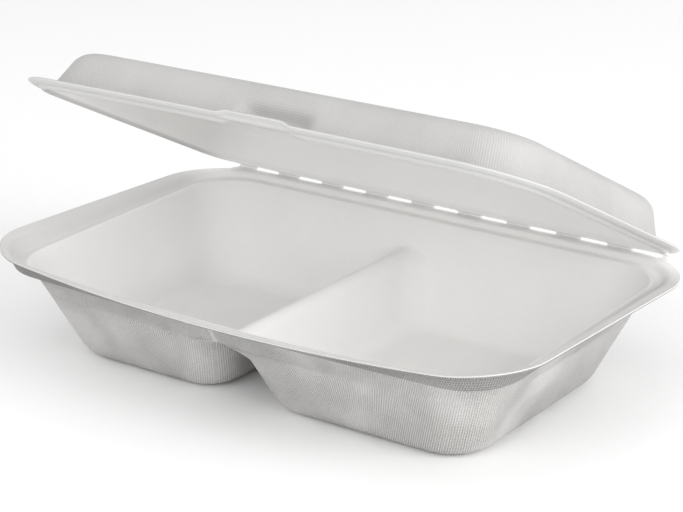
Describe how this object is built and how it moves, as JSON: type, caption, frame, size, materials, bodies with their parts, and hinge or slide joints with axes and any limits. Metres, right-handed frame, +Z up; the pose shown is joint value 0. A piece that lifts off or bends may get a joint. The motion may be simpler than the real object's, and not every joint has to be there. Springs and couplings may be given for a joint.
{
  "type": "hinged food container",
  "caption": "Hinged takeaway food box with a divided tray, moulded in plant-fibre pulp, with a slotted fold line and a thumb tab.",
  "frame": {"origin": "centre of the whole box's footprint at the height of the surface it stands on, with the lid held as in the picture", "axes": "+X along the hinge line, +Y from the front with the thumb tab to the hinge, +Z up"},
  "size_m": [0.2484, 0.1634, 0.1238],
  "materials": {
    "tray_fibre": "matt pressed plant fibre, smooth inside and with a fine mesh print outside",
    "lid_fibre": "matt pressed plant fibre, smooth inside and with a fine mesh print outside"
  },
  "bodies": {
    "tray_body": {"base_tray": "tray_fibre"},
    "lid_body": {"lid": "lid_fibre"}
  },
  "joints": [
    {"name": "lid_hinge", "type": "hinge", "parent": "tray_body", "child": "lid_body", "pos_m": [0, 0.0815, 0.0432], "axis": [-1, 0, 0], "range_deg": [-25, 153]}
  ]
}
